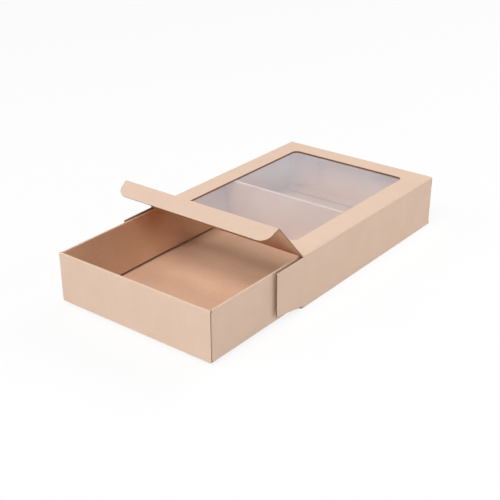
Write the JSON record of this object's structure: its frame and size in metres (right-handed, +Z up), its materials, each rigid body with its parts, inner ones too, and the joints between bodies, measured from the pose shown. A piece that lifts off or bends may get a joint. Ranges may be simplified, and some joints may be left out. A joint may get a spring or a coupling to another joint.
{
  "type": "sliding tray food box",
  "caption": "Kraft board slide box for food: a sleeve with a film window, tuck closures at both ends and a double-walled tray that slides out.",
  "frame": {"origin": "centre of the underside of the sleeve's bottom panel, halfway between the two closed ends", "axes": "+Z up, -Y towards the open front end that the tray is drawn out of, +X to the right seen from the front"},
  "size_m": [0.14, 0.2743, 0.0708],
  "materials": {
    "kraft_outside": "light uncoated kraft liner over a micro-flute core",
    "kraft_inside": "browner uncoated kraft liner",
    "window_film": "clear glossy film, slightly hazy",
    "window_glue": "dried dispersion glue"
  },
  "bodies": {
    "sleeve": {"sleeve_top_panel": "kraft_outside", "sleeve_left_side": "kraft_outside", "sleeve_right_side": "kraft_outside", "sleeve_bottom_panel": "kraft_outside", "sleeve_glue_flap": "kraft_inside", "window_film": "window_film", "window_glue_band": "window_glue"},
    "tray": {"tray_floor": "kraft_inside", "tray_front_outer_wall": "kraft_outside", "tray_front_rim": "kraft_outside", "tray_front_inner_wall": "kraft_inside", "tray_front_left_corner_flap": "kraft_inside", "tray_front_right_corner_flap": "kraft_inside", "tray_rear_outer_wall": "kraft_outside", "tray_rear_rim": "kraft_outside", "tray_rear_inner_wall": "kraft_inside", "tray_rear_left_corner_flap": "kraft_inside", "tray_rear_right_corner_flap": "kraft_inside", "tray_left_outer_wall": "kraft_outside", "tray_left_rim": "kraft_outside", "tray_left_inner_wall": "kraft_inside", "tray_right_outer_wall": "kraft_outside", "tray_right_rim": "kraft_outside", "tray_right_inner_wall": "kraft_inside"},
    "front_closure": {"front_closure_panel": "kraft_outside"},
    "front_tuck": {"front_tuck_flap": "kraft_outside"},
    "front_left_dust": {"front_left_dust_flap": "kraft_outside"},
    "front_right_dust": {"front_right_dust_flap": "kraft_outside"},
    "rear_closure": {"rear_closure_panel": "kraft_outside"},
    "rear_tuck": {"rear_tuck_flap": "kraft_outside"},
    "rear_left_dust": {"rear_left_dust_flap": "kraft_outside"},
    "rear_right_dust": {"rear_right_dust_flap": "kraft_outside"}
  },
  "joints": [
    {"name": "tray_slide", "type": "slide", "parent": "sleeve", "child": "tray", "axis": [0, -1, 0], "range_m": [-0.0961, 0.112]},
    {"name": "front_closure_hinge", "type": "hinge", "parent": "sleeve", "child": "front_closure", "pos_m": [0, -0.0897, 0.0407], "axis": [-1, 0, 0], "range_deg": [-31, 60]},
    {"name": "front_tuck_hinge", "type": "hinge", "parent": "front_closure", "child": "front_tuck", "pos_m": [0, -0.11558, 0.07047], "axis": [-1, 0, 0], "range_deg": [-11, 79]},
    {"name": "front_left_dust_hinge", "type": "hinge", "parent": "sleeve", "child": "front_left_dust", "pos_m": [-0.0697, -0.0888, 0.02], "axis": [0, 0, -1], "range_deg": [-2, 110]},
    {"name": "front_right_dust_hinge", "type": "hinge", "parent": "sleeve", "child": "front_right_dust", "pos_m": [0.0697, -0.0888, 0.02], "axis": [0, 0, 1], "range_deg": [-2, 110]},
    {"name": "rear_closure_hinge", "type": "hinge", "parent": "sleeve", "child": "rear_closure", "pos_m": [0, 0.0897, 0.0407], "axis": [1, 0, 0], "range_deg": [0, 100]},
    {"name": "rear_tuck_hinge", "type": "hinge", "parent": "rear_closure", "child": "rear_tuck", "pos_m": [0, 0.0897, 0.00125], "axis": [-1, 0, 0], "range_deg": [0, 56]},
    {"name": "rear_left_dust_hinge", "type": "hinge", "parent": "sleeve", "child": "rear_left_dust", "pos_m": [-0.0697, 0.0888, 0.02], "axis": [0, 0, -1], "range_deg": [0, 55]},
    {"name": "rear_right_dust_hinge", "type": "hinge", "parent": "sleeve", "child": "rear_right_dust", "pos_m": [0.0697, 0.0888, 0.02], "axis": [0, 0, 1], "range_deg": [0, 55]}
  ],
  "couplings": [
    {"joint": "rear_tuck_hinge", "follows": "rear_closure_hinge", "ratio": 0.56}
  ]
}
